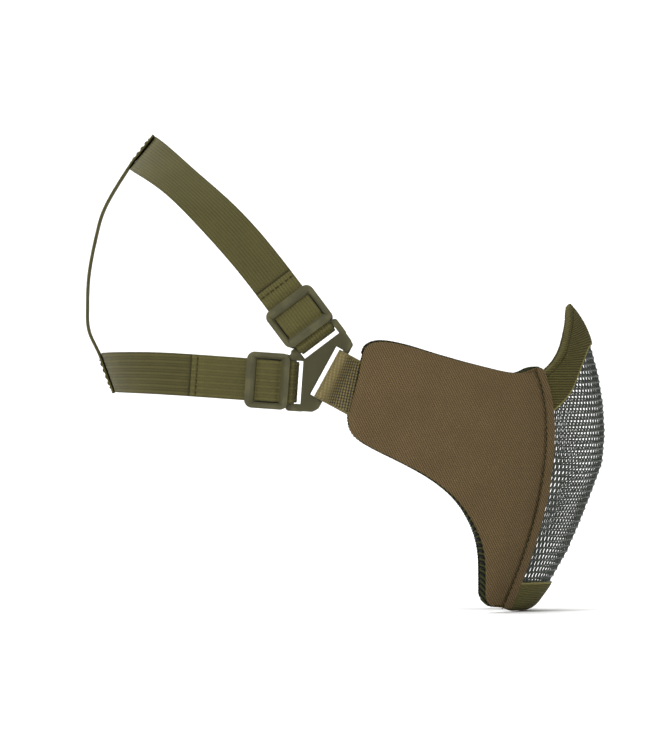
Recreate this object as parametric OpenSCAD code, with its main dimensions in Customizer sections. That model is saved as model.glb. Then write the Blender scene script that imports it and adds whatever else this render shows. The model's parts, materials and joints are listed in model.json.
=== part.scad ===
// Half-face field mask with a wire-mesh mouthpiece, padded cheeks and an elastic two-strap head harness.
// Row frame: +X is the way the wearer faces, +Y the wearer's left, +Z up.
// The origin is on the mid-plane, under the chin, at the height of the lowest edge.
// Every right-hand piece is drawn once and mirrored for the left.

/* [Mouthpiece] */
// Height of the peak over the nose
peak_z = 146; // [140:1:155]
// How far the mesh bulges forward of the origin
bulge_x = 40.4; // [36:0.2:44]
// Half-width of the mask at the ears
ear_w = 76; // [72:1:80]
// Thickness of the formed mesh sheet
mesh_t = 1.2; // [0.8:0.1:1.4]
// Height of the knitted tape round the nose
nose_tape_h = 19; // [14:1:22]
// Height of the knitted tape round the chin
chin_tape_h = 14; // [9:1:15]

/* [Cheeks] */
// Thickness of the nylon cover
cover_t = 0.85; // [0.6:0.05:1]
// How far the padding lifts the middle of the cheek
crown = 1.6; // [0:0.2:2.4]
// Thickness of the lining
lining_t = 0.85; // [0.6:0.05:1.2]

/* [Harness] */
// Half the distance between the outer faces of the two splitter buckles
side_y = 80.9; // [80.9:0.1:82]
// Width of the elastic straps
elastic_w = 20; // [18:0.5:20]
// Thickness of the elastic
elastic_t = 1.1; // [0.9:0.1:1.2]
// Width of the nylon webbing tabs
webbing_w = 25.4; // [24:0.2:25.4]
// Thickness of the webbing
webbing_t = 1.2; // [1:0.1:1.3]
// Thickness of the splitter buckles
buckle_t = 2.4; // [2:0.1:2.6]
// Length of a slider along its strap
slider_l = 20.8; // [19:0.2:21]
// Width of a slider across its strap
slider_w = 26.6; // [26:0.2:28]

/* [Hidden] */
$fn = 48;

gap = 0.2;                        // room left between layers that are sewn together
tape_t = 0.85;                    // thickness of the knitted tape
strip_d = mesh_t / 2 + gap + tape_t + 2 * gap;  // the cover lies this far out where it crosses the tape
jaw_z = 95;                       // below this height the jaw narrows
stand = buckle_t / 2;             // the buckle bars lie this far inside the buckle's outer face

olive = [0.30, 0.29, 0.16];
tan_brown = [0.38, 0.32, 0.22];
mesh_green = [0.19, 0.21, 0.18];
moulded_green = [0.29, 0.28, 0.19];
lining_green = [0.12, 0.14, 0.09];
thread_green = [0.13, 0.15, 0.07];

// ---------- curves and vectors ----------

function mix(a, b, t) = a + (b - a) * t;
function clamp01(t) = min(max(t, 0), 1);
function ease(t) = let(c = clamp01(t)) c * c * (3 - 2 * c);
function unit(v) = v / norm(v);
function flip(v) = [v.x, -v.y, v.z];

// A smooth curve through every point of a list, for t from 0 to 1.
function spline(p, t) =
    let(n = len(p) - 1, s = clamp01(t) * n, i = min(floor(s), n - 1), f = s - i,
        a = p[max(i - 1, 0)], b = p[i], c = p[i + 1], d = p[min(i + 2, n)])
    0.5 * (2 * b + (c - a) * f + (2 * a - 5 * b + 4 * c - d) * f * f
        + (3 * b - a - 3 * c + d) * f * f * f);

function bezier(p, t) =
    pow(1 - t, 3) * p[0] + 3 * pow(1 - t, 2) * t * p[1]
    + 3 * (1 - t) * t * t * p[2] + pow(t, 3) * p[3];

// ---------- the face surface that the mesh and the cheeks lie on ----------

function jaw(z, power) = pow(clamp01((jaw_z - z) / jaw_z), power);

// How far the mid-line of the mesh lies behind its most forward point, every 14 up from the chin.
// The sheet also turns in under the chin, below a height of 5.
front_fall = [35.1, 26.3, 18.2, 12.1, 6.6, 1.3, 0, 0.7, 2.9, 6.5, 12.5, 25.4, 44.4];
front_step = 14;
function front_x(z) =
    bulge_x - spline(front_fall, z / front_step / 12) - 5.5 * pow(clamp01((5 - z) / 5), 2);
function side_x(z) = -95 + 33 * jaw(z, 1.3);
function half_w(z) = ear_w - 24 * jaw(z, 1.6);
// The sheet has a ridge down its middle, sharper towards the nose; 0 would be a plain ellipse.
function ridge(z) = 0.32 * ease((z - 4) / 36) + 0.12 * ease((z - 100) / 45);

// A point at an angle round the face: 0 on the mid-plane, positive to the wearer's right.
function face(a, z) = [
    side_x(z) + (front_x(z) - side_x(z)) * cos(a),
    -sign(a) * half_w(z) * pow(abs(sin(a)), 1 + ridge(z) * pow(cos(a), 2)),
    z
];
function face_normal(a, z) = unit(cross(face(a - 1, z) - face(a + 1, z), face(a, z + 1) - face(a, z - 1)));
function off_face(a, z, d) = face(a, z) + d * face_normal(a, z);
function face_angle(x, z) = acos(min(1, (x - side_x(z)) / (front_x(z) - side_x(z))));

// ---------- solids made from point grids ----------

// A closed sheet between two grids of points with the same rows and columns. The first grid is on
// the side that the way the rows go, crossed with the way the columns go, points to.
module sheet(first, second) {
    rows = len(first);
    cols = len(first[0]);
    count = rows * cols;
    function at(side, r, c) = side * count + r * cols + c;
    function quad(a, b, c, d) = [[a, b, c], [a, c, d]];
    faces = concat(
        [for (r = [0 : rows - 2], c = [0 : cols - 2],
            f = quad(at(0, r, c), at(0, r, c + 1), at(0, r + 1, c + 1), at(0, r + 1, c))) f],
        [for (r = [0 : rows - 2], c = [0 : cols - 2],
            f = quad(at(1, r, c), at(1, r + 1, c), at(1, r + 1, c + 1), at(1, r, c + 1))) f],
        [for (r = [0 : rows - 2], e = [0, cols - 1],
            f = e == 0 ? quad(at(0, r, e), at(0, r + 1, e), at(1, r + 1, e), at(1, r, e))
                       : quad(at(0, r, e), at(1, r, e), at(1, r + 1, e), at(0, r + 1, e))) f],
        [for (c = [0 : cols - 2], e = [0, rows - 1],
            f = e == 0 ? quad(at(0, e, c), at(1, e, c), at(1, e, c + 1), at(0, e, c + 1))
                       : quad(at(0, e, c), at(0, e, c + 1), at(1, e, c + 1), at(1, e, c))) f]
    );
    polyhedron([for (g = [first, second], row = g, p = row) p], faces, convexity = 10);
}

// A closed rope through rings of points, every ring convex and with the same number of points.
module rope(rings) {
    n = len(rings[0]);
    last = len(rings) - 1;
    sides = [for (r = [0 : last - 1], k = [0 : n - 1], second = [false, true])
        second ? [r * n + k, (r + 1) * n + (k + 1) % n, (r + 1) * n + k]
               : [r * n + k, r * n + (k + 1) % n, (r + 1) * n + (k + 1) % n]];
    caps = [for (k = [1 : n - 2], end = [0, last])
        end == 0 ? [0, k + 1, k] : [end * n, end * n + k, end * n + k + 1]];
    polyhedron([for (ring = rings, p = ring) p], concat(sides, caps), convexity = 10);
}

// Places its children with their own +X along d and their +Z along n, which are at right angles.
module place(o, d, n) {
    w = cross(n, d);
    multmatrix([[d.x, w.x, n.x, o.x], [d.y, w.y, n.y, o.y], [d.z, w.z, n.z, o.z], [0, 0, 0, 1]])
        children();
}

module left_hand() {
    mirror([0, 1, 0]) children();
}

// ---------- mouthpiece ----------

seam_z = 84;      // height of the seam's most forward point
function seam_x(z) = z > seam_z ? 14.2 - 0.0007 * pow(z - seam_z, 2.6)
                                : 14.2 - 0.0094 * pow(seam_z - z, 1.75);
mesh_tuck = 9;    // the mesh runs this far back under the cheek, and less far at the chin
function tuck(z) = mesh_tuck - 3.5 * (1 - clamp01(z / 12));
tape_share = 0.94;  // and the tapes this share of the way

// Height of the upper rim below the peak at equal steps of the way from the mid-plane to the edge.
rim_fall = [0, 0.8, 4.2, 11.7, 23.1, 31.4, 37.1];
chin_z = 0.55;
function top_rim(s) = peak_z - spline(rim_fall, abs(s));

// A point of the mouthpiece: s runs across it from -1 to 1, z is its height, d is how far out it is.
function mouth_angle(s, z) =
    let(edge_z = mix(chin_z, peak_z - rim_fall[6], clamp01((z - chin_z) / (top_rim(s) - chin_z))))
    s * face_angle(seam_x(edge_z) - tuck(edge_z), edge_z);
function mouth(s, z, d) = off_face(mouth_angle(s, z), z, d);

// The mesh and the tapes are drawn with the same rows of points, so that they nest.
tape_steps = [0, 0.1, 0.25, 0.5, 0.75, 1];
tape_last = len(tape_steps) - 1;
mesh_cols = 34;
mesh_mid = 8;
module wire_mesh() {
    function low(k) = chin_z + chin_tape_h * tape_steps[k];
    function high(s, k) = top_rim(s) - nose_tape_h * tape_steps[k];
    function heights(s) = concat(
        [for (k = [1 : tape_last]) low(k)],
        [for (k = [1 : mesh_mid - 1]) mix(low(tape_last), high(s, tape_last), k / mesh_mid)],
        [for (k = [tape_last : -1 : 1]) high(s, k)]
    );
    function skin(d) = [for (r = [0 : len(heights(0)) - 1]) [for (c = [0 : mesh_cols])
        let(s = 2 * c / mesh_cols - 1) mouth(s, heights(s)[r], d)]];
    color(mesh_green) sheet(skin(mesh_t / 2), skin(-mesh_t / 2));
}

// Tape folded over a rim. Its section is a U, given as steps of [height from the rim, distance out].
// The fold of the chin's tape is flat underneath, so that the mask can stand on it.
tape_cols = 34;
tape_far = mesh_t / 2 + gap + tape_t;
module folded_tape(rim, way, h) {
    function legs(d, top) = concat(
        [for (k = [tape_last : -1 : 0]) [k == 0 ? top : -h * tape_steps[k], d]],
        [for (k = [0 : tape_last - 1]) [k == 0 ? top : -h * tape_steps[k], -d]]
    );
    function skin(u, floor_z) = [for (k = [0 : len(u) - 1]) [for (c = [0 : tape_cols])
        let(s = tape_share * (2 * c / tape_cols - 1),
            p = mouth(s, rim(s) + way * u[k][0], u[k][1]),
            fold = way < 0 && (k == tape_last || k == tape_last + 1))
        [p.x, p.y, fold ? floor_z : max(p.z, floor_z)]]];
    over = skin(legs(tape_far, tape_t - 0.3), 0);
    under = skin(legs(tape_far - tape_t, -0.75), tape_t);
    if (way > 0) sheet(over, under);
    else sheet(under, over);
}

module nose_binding() {
    color(olive) folded_tape(function(s) top_rim(s), 1, nose_tape_h);
}

module chin_binding() {
    color(olive) folded_tape(function(s) chin_z, -1, chin_tape_h);
}

// ---------- cheeks ----------

// The cheek's outline in side view, as [x, z]. The upper arc runs from the ear along the top
// to the seam and down it; the lower arc runs from the ear under the jaw to the chin.
top_edge = [[-76, 117.5], [-74.8, 125.2], [-68.8, 128.5], [-57, 127], [-40, 121.9],
            [-22, 116.9], [-4, 113.1], [5.2, 116], [8.9, 115.2]];
jaw_edge = [[-82.5, 93], [-80.6, 85.3], [-72.9, 79.7], [-59, 72.8], [-45, 65.2],
            [-33.3, 56.2], [-26.2, 47.2]];
chin_edge = [[-26.2, 47.2], [-21, 37], [-18.4, 26], [-18, 13], [-18, 4.4]];
seam_top_z = 115.2;
seam_bottom_z = 3.2;

cheek_cols = 36;
cheek_turn = 0.62;   // share of the columns that lie between the top edge and the jaw
cheek_rows = 8;
function upper_arc(u) = u <= cheek_turn ? spline(top_edge, u / cheek_turn)
    : let(z = mix(seam_top_z, seam_bottom_z, (u - cheek_turn) / (1 - cheek_turn)), x = seam_x(z)) [x, z];
function lower_arc(u) = u <= cheek_turn ? spline(jaw_edge, u / cheek_turn)
    : spline(chin_edge, (u - cheek_turn) / (1 - cheek_turn));
function cheek_xz(u, v) = mix(lower_arc(u), upper_arc(u), v);
function cheek_point(q, d) = off_face(face_angle(q[0], q[1]), q[1], d);

// How much of the padding's lift a point has: none at the edges and along the seam.
function padding(q, u, v) =
    ease((seam_x(min(q[1], 114)) - q[0] - 4) / 12)
    * ease(u * 8) * ease(v * 4)
    * (u < cheek_turn ? ease((1 - v) * 4) : mix(ease((1 - v) * 4), 1, ease((u - cheek_turn) * 6)));

module cheek_shell(near, far, lift) {
    function skin(d) = [for (r = [0 : cheek_rows]) [for (c = [0 : cheek_cols])
        let(u = c / cheek_cols, v = r / cheek_rows, q = cheek_xz(u, v))
        cheek_point(q, d + lift * padding(q, u, v))]];
    sheet(skin(near), skin(far));
}

module cheek_cover() {
    color(tan_brown) cheek_shell(strip_d, strip_d + cover_t, crown);
}

module cheek_lining() {
    color(lining_green) cheek_shell(-strip_d - lining_t, -strip_d, 0);
}

// The foam stops short of the sewn edges, of the mesh and of the webbing tab.
foam_start = 0.26;
foam_end = 0.86;
foam_gap = 0.5;
foam_back = 15;      // distance from the seam to the foam's edge
module cheek_foam() {
    cols = 26;
    rows = 7;
    function skin(d, lift) = [for (r = [0 : rows]) [for (c = [0 : cols])
        let(u = mix(foam_start, foam_end, c / cols),
            low = cheek_xz(u, 0.06),
            high = cheek_xz(u, 0.94),
            stop = seam_x(min(high[1], 114)) - foam_back,
            full = max(0.001, high[0] - low[0]),
            reach = u < 0.45 ? 1 : clamp01((stop - low[0]) / full),
            q = mix(low, high, min(1, reach) * r / rows),
            v = 0.06 + 0.88 * min(1, reach) * r / rows)
        cheek_point(q, d + lift * padding(q, u, v))]];
    color([0.85, 0.84, 0.78]) sheet(skin(-strip_d + foam_gap, 0), skin(strip_d - foam_gap, crown));
}

// Overlocked trim over the cheek's raw edges: along the top, and along the jaw and the chin.
trim_r = 0.8;
trim_h = 2.6;
module trim_run(from, to, arc, outward) {
    count = 40;
    points = [for (k = [0 : count]) arc(mix(from, to, k / count))];
    rings = [for (k = [0 : count])
        let(q = points[k],
            along = unit(cheek_point(points[min(k + 1, count)], 0) - cheek_point(points[max(k - 1, 0)], 0)),
            n = face_normal(face_angle(q[0], q[1]), q[1]),
            w = outward * unit(cross(along, n)),
            o = cheek_point(q, -0.3) + w * (trim_r + gap))
        [for (j = [0 : 7]) o + w * trim_r * cos(45 * j) + n * trim_h * sin(45 * j) * outward]];
    rope(rings);
}

module edge_trim() {
    color(lining_green) {
        trim_run(0.045, cheek_turn - 0.035, function(u) upper_arc(u), -1);
        trim_run(0.045, 1, function(u) lower_arc(u), 1);
    }
}

// The row of thread that holds the cheek to the mesh, one bar a stitch.
stitch_back = 4.4;   // distance from the seam's edge to the thread
stitch_pitch = 3;
module front_stitching() {
    top_z = 113;
    count = round((top_z - 4) / (stitch_pitch * 0.93));
    function spot(z) = off_face(face_angle(seam_x(z) - stitch_back, z), z, strip_d + cover_t + 0.45);
    color(thread_green)
    for (k = [0 : count]) {
        z = mix(4, top_z, k / count);
        d = unit(spot(z + 1) - spot(z - 1));
        n0 = face_normal(face_angle(seam_x(z) - stitch_back, z), z);
        n = unit(n0 - d * (d * n0));
        place(spot(z), d, n) cube([2.1, 0.5, 0.4], center = true);
    }
}

// ---------- harness frames, for the right side ----------

// Each bar of the splitter buckle: where it is, which way its strap leaves, and the way out.
function strap_frame(x, z, angle, inward) =
    let(flat = [cos(angle), 0, sin(angle)],
        d = unit(flat * cos(inward) + [0, sin(inward), 0]),
        n = unit([0, -1, 0] + d * d.y))
    [[x, -side_y + stand, z], d, n];
upper_frame = strap_frame(-98.3, 130.8, 127, 6);
lower_frame = strap_frame(-109.7, 109.4, 176, 11);
anchor_frame = strap_frame(-89.9, 112.4, -28.6, 23);
function along(f, s, h) = f[0] + f[1] * s + f[2] * h;

bar_r = 1.3;
slot_w = 4.3;
loop_room = 0.25;

// Stations of a band that comes in on its outer layer, turns round a bar and leaves on its inner layer.
// Each is [distance along the strap, distance out]; t is the band's thickness.
// layer: half the distance between the two layers; lift: how far they are outside the bar's centre.
function loop_stations(t, layer, lift, reach) =
    let(r = bar_r + loop_room + t / 2)
    concat([[reach, lift + layer], [reach * 0.6, mix(lift + layer, r, 0.35)]],
        [for (a = [75 : 21 : 285]) [r * cos(a), r * sin(a)]],
        [[reach * 0.6, mix(lift - layer, -r, 0.35)], [reach, lift - layer]]);

// Turns stations into a band: centre points pushed out by half the thickness each way.
function station_normal(p, k) =
    let(a = p[max(k - 1, 0)], b = p[min(k + 1, len(p) - 1)], d = unit(b - a)) [-d[1], d[0]];
function band_row(f, p, k, w, half_t) =
    let(m = station_normal(p, k), q = p[k] + m * half_t, side = cross(f[2], f[1]) * w / 2)
    [along(f, q[0], q[1]) - side, along(f, q[0], q[1]) + side];

// ---------- webbing tabs ----------

tab_layer = webbing_t / 2 + 0.05;
tab_lift = -0.65;
// Inside the cheek the tab bends to lie between the cover and the lining.
tab_bend = [[18, 2.6], [16, 1.95], [13, 0.8], [10, -0.2], [8, -0.6]];
module anchor_webbing() {
    p = concat([for (q = tab_bend) [q[0], q[1] + tab_layer]],
               loop_stations(webbing_t, tab_layer, tab_lift, 6.5),
               [for (k = [len(tab_bend) - 1 : -1 : 0]) [tab_bend[k][0], tab_bend[k][1] - tab_layer]]);
    color([0.36, 0.32, 0.19])
    sheet([for (k = [0 : len(p) - 1]) band_row(anchor_frame, p, k, webbing_w, webbing_t / 2)],
          [for (k = [0 : len(p) - 1]) band_row(anchor_frame, p, k, webbing_w, -webbing_t / 2)]);
}

// ---------- splitter buckle ----------

wall = 3;            // plastic beyond each end of a slot
round_r = 1.6;
// In side view: a rounded arm round one slot and its bar. f is the strap's frame.
module arm(f, slot_l, end, depth) {
    translate([f[0].x, f[0].z]) rotate(atan2(f[1].z, f[1].x))
    offset(round_r) offset(-round_r)
    translate([-bar_r - slot_w - depth, -slot_l / 2 - end])
        square([2 * bar_r + slot_w + depth, slot_l + 2 * end]);
}
module arm_slot(f, slot_l) {
    translate([f[0].x, f[0].z]) rotate(atan2(f[1].z, f[1].x))
    translate([-bar_r - slot_w, -slot_l / 2]) square([2 * bar_r + slot_w + 1, slot_l]);
}
module bar(f, slot_l) {
    translate([f[0].x, -side_y + stand, f[0].z]) rotate([0, -atan2(f[1].z, f[1].x), 0])
        cylinder(r = bar_r - 0.1, h = slot_l + 2, center = true);
}

strap_slot = 21;
tab_slot = 26.6;
fillet_r = 1;
// The solid parts between the three arms: the middle, and a shoulder on each outer side.
buckle_plates = [[[-90.5, 128], [-103.4, 120], [-103, 101.5]],
                 [[-85.6, 132.2], [-83.1, 128.6], [-90.5, 128]],
                 [[-104.4, 97.9], [-99.6, 97.6], [-103, 101.5]]];
module splitter_buckle() {
    color(moulded_green) {
        translate([0, -side_y + buckle_t, 0]) rotate([90, 0, 0]) linear_extrude(buckle_t)
        difference() {
            offset(-fillet_r) offset(fillet_r) union() {
                arm(upper_frame, strap_slot, wall, 2);
                arm(lower_frame, strap_slot, wall, 2);
                arm(anchor_frame, tab_slot, wall + 2.4, 1.6);
                for (plate = buckle_plates)
                    hull() for (q = plate) translate(q) circle(r = 2.2, $fn = 24);
            }
            arm_slot(upper_frame, strap_slot);
            arm_slot(lower_frame, strap_slot);
            arm_slot(anchor_frame, tab_slot);
        }
        bar(upper_frame, strap_slot);
        bar(lower_frame, strap_slot);
        bar(anchor_frame, tab_slot);
    }
}

// ---------- elastic straps ----------

layer = elastic_t / 2 + 0.05;
lift = stand;        // straps run level with the buckle's outer face, outside its bars
upper_hem = 31.8;
lower_hem = 47.4;
crown_point = [-180.8, 0, 219.1];
crown_out = [-0.79, 0, 0.612];
nape_point = [-197.2, 0, 114];
nape_out = unit([-0.937, 0, -0.348]);

// A ribbon station is [centre, width direction, outward direction].
function hardware_rows(f, hem, t) =
    let(p = concat([[hem, lift + layer], [12, lift + layer]],
                   loop_stations(elastic_t, layer, lift, 6.4),
                   [[12, lift - layer], [hem + 3, lift - layer]]))
    [for (k = [0 : len(p) - 1]) band_row(f, p, k, elastic_w, t)];

// The curved half of a strap, from the hardware to the mid-plane. Half way along it leans over
// by an angle, as the head does.
function round_rows(f, hem, target, out, bulge, lean, t) =
    let(start = along(f, hem + 3, lift - layer),
        ctrl = [start, start + f[1] * bulge[0], target - [0, bulge[1], 0], target],
        count = 14)
    [for (k = [1 : count])
        let(u = k / count,
            dir = k == count ? [0, 1, 0] : unit(bezier(ctrl, u + 0.01) - bezier(ctrl, u - 0.01)),
            n0 = f[2] * cos(90 * u) + out * sin(90 * u),
            n1 = unit(n0 - dir * (dir * n0)),
            roll = lean * pow(sin(180 * u), 2),
            n = n1 * cos(roll) + cross(n1, dir) * sin(roll),
            side = cross(n, dir) * elastic_w / 2,
            c = bezier(ctrl, u) + n * t)
        [c - side, c + side]];

module head_strap(f, hem, target, out, bulge, lean) {
    function half(t) = concat(hardware_rows(f, hem, t),
                              round_rows(f, hem, target, out, bulge, lean, t));
    function whole(t) = let(h = half(t), n = len(h))
        concat(h, [for (k = [n - 2 : -1 : 0]) [flip(h[k][0]), flip(h[k][1])]]);
    color(olive) sheet(whole(elastic_t / 2), whole(-elastic_t / 2));
}

module upper_strap() {
    head_strap(upper_frame, upper_hem, crown_point, crown_out, [50, 44], -30);
}

module lower_strap() {
    head_strap(lower_frame, lower_hem, nape_point, nape_out, [22, 40], 0);
}

// The back strap lies over both straps on the mid-plane and follows the head between them.
back_t = elastic_t;
function tee(p, out, share) =
    let(o = [out.x, out.z], w = [out.z, -out.x], c = [p.x, p.z] + o * (elastic_t / 2 + gap))
    c + w * elastic_w * share;
back_path = [tee(crown_point, crown_out, 0.5), tee(crown_point, crown_out, 0),
             tee(crown_point, crown_out, -0.5), [-198.6, 193], [-203.2, 177.6], [-206.3, 160.8],
             [-207, 146.4], [-206.4, 134.4], tee(nape_point, nape_out, 0.5),
             tee(nape_point, nape_out, 0), tee(nape_point, nape_out, -0.5)];
back_count = 44;
function back_out(t) = let(d = unit(spline(back_path, t + 0.01) - spline(back_path, t - 0.01))) [d[1], -d[0]];
module back_strap() {
    inner = [for (k = [0 : back_count]) spline(back_path, k / back_count)];
    outer = [for (k = [back_count : -1 : 0])
        spline(back_path, k / back_count) + back_t * back_out(k / back_count)];
    color(olive) translate([0, elastic_w / 2, 0]) rotate([90, 0, 0]) linear_extrude(elastic_w)
        polygon(concat(inner, outer));
}

// ---------- strap stitching ----------

hem_back = 2.8;      // distance from the hem's end to its stitching
module hem_row(f, hem) {
    pitch = 3;
    for (k = [-3 : 3])
        place(along(f, hem - hem_back, lift + layer + elastic_t / 2 + 0.3), f[1], f[2])
            translate([0, k * pitch * 0.9, 0]) cube([0.5, 1.9, 0.4], center = true);
}

module hem_rows() {
    hem_row(upper_frame, upper_hem);
    hem_row(lower_frame, lower_hem);
}

module hem_stitching() {
    color(thread_green) {
        hem_rows();
        left_hand() hem_rows();
    }
}

// A stitched square on the back strap, over each of the two crossings.
module stitched_square(p, out) {
    half = 7;
    o = p + out * (elastic_t / 2 + gap + back_t + 0.4);
    place(o, [0, 1, 0], out)
    for (side = [0 : 3], k = [-2 : 1]) {
        rotate(90 * side) translate([half, (k + 0.5) * 3.2, 0]) cube([0.5, 2.1, 0.4], center = true);
    }
}

module junction_stitching() {
    color(thread_green) {
        stitched_square(crown_point, crown_out);
        stitched_square(nape_point, nape_out);
    }
}

// ---------- sliders ----------

upper_slider_s = 11.8;
lower_slider_s = 10.2;
rail = 3;
frame_bar = 4.2;
frame_low = layer + elastic_t / 2 + 0.3;      // the frame clears the strap by this much above its middle
frame_t = 1.6;
foot_low = -2.5;
module rounded_block(l, w, r, h) {
    linear_extrude(h) {
        square([l, w - 2 * r], center = true);
        square([l - 2 * r, w], center = true);
        for (x = [-1, 1], y = [-1, 1])
            translate([x * (l / 2 - r), y * (w / 2 - r)]) circle(r = r);
    }
}

// A ladder-lock slider: the strap runs under its two end bars and over its middle bar.
module slider() {
    window_l = slider_l - 2 * frame_bar;
    window_w = slider_w - 2 * rail;
    leg_l = 8;
    leg_h = frame_low - foot_low + 0.3;
    foot_h = -foot_low - layer - elastic_t / 2 - 0.15;
    chamfer_h = 1.1;
    chamfer_x = 3.8;   // taken off the two end bars together
    chamfer_y = 2.2;   // taken off the two rails together
    color(moulded_green) {
        difference() {
            translate([0, 0, frame_low]) rounded_block(slider_l, slider_w, 3.8, frame_t);
            translate([0, 0, frame_low - 1]) linear_extrude(frame_t + 2)
                square([window_l, window_w], center = true);
            // the window's chamfer, cut from above
            translate([0, 0, frame_low + frame_t - chamfer_h])
                linear_extrude(chamfer_h * 1.02, slices = 1,
                               scale = [1 + chamfer_x / window_l, 1 + chamfer_y / window_w])
                    square([window_l, window_w], center = true);
        }
        for (y = [-1, 1])
            translate([-leg_l / 2, y > 0 ? window_w / 2 : -slider_w / 2 + 0.4, foot_low])
                cube([leg_l, rail - 0.4, leg_h]);
        translate([-1.7, -slider_w / 2 + 1, foot_low])
            cube([3.4, slider_w - 2, foot_h]);
    }
}

module slider_on(f, s) {
    place(along(f, s, lift), f[1], f[2]) slider();
}

// ---------- the assembly ----------

wire_mesh();
nose_binding();
chin_binding();
cheek_cover();  // right_cheek_cover
cheek_foam();  // right_cheek_foam
cheek_lining();  // right_cheek_lining
edge_trim();  // right_edge_trim
left_hand() cheek_cover();  // left_cheek_cover
left_hand() cheek_foam();  // left_cheek_foam
left_hand() cheek_lining();  // left_cheek_lining
left_hand() edge_trim();  // left_edge_trim
front_stitching();  // right_front_stitching
left_hand() front_stitching();  // left_front_stitching
anchor_webbing();  // right_anchor_webbing
left_hand() anchor_webbing();  // left_anchor_webbing
splitter_buckle();  // right_splitter_buckle
left_hand() splitter_buckle();  // left_splitter_buckle
upper_strap();
lower_strap();
back_strap();
hem_stitching();
junction_stitching();
slider_on(upper_frame, upper_slider_s);  // right_upper_slider
slider_on(lower_frame, lower_slider_s);  // right_lower_slider
left_hand() slider_on(upper_frame, upper_slider_s);  // left_upper_slider
left_hand() slider_on(lower_frame, lower_slider_s);  // left_lower_slider
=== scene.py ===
import json
import math
import random

import bmesh
import bpy
import numpy as np
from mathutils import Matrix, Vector, noise
from mathutils.bvhtree import BVHTree
from mathutils.kdtree import KDTree


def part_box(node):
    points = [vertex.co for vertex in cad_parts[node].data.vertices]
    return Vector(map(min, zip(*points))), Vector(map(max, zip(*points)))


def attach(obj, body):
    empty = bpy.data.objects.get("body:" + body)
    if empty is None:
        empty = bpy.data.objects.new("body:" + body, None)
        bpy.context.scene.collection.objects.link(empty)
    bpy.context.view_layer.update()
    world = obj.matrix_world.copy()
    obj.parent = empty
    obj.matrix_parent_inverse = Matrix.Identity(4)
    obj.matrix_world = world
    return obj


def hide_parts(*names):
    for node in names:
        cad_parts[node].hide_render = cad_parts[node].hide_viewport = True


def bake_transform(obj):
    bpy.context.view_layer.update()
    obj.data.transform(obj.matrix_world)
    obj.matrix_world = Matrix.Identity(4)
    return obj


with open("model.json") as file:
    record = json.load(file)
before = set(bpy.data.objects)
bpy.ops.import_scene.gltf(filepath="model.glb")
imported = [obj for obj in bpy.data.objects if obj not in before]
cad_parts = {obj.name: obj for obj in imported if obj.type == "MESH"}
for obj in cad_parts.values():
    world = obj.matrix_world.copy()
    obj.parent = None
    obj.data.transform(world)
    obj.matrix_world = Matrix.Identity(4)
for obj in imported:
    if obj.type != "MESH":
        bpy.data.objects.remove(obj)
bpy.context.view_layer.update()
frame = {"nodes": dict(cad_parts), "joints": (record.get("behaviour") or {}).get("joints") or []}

# Everything is in metres, in the CAD frame: +X forward, +Y the wearer's left, +Z up.
MM = 0.001
NODES = frame["nodes"]
SIDES = ("right", "left")
HEAD_CENTRE = Vector((-0.1, 0, 0.14))
SHARP_ANGLE = math.radians(50)
TINY = 1e-12
SHEEN_ROUGHNESS = 0.5
random.seed(7)

# Pitches of the cloths and threads, in millimetres.
TWILL_PITCH = 1.02
TWILL_YARN = 0.9
ELASTIC_PICK = 0.92
ELASTIC_LANE = 0.72
RIB_PITCH = 1.45
KNIT_PITCH = 1.2
KNIT_LOOP = 0.8
TUFT_ACROSS = 1.45
TUFT_ALONG = 1.4
STITCH_PITCH = 2.9


# ---------------------------------------------------------------- materials

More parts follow.
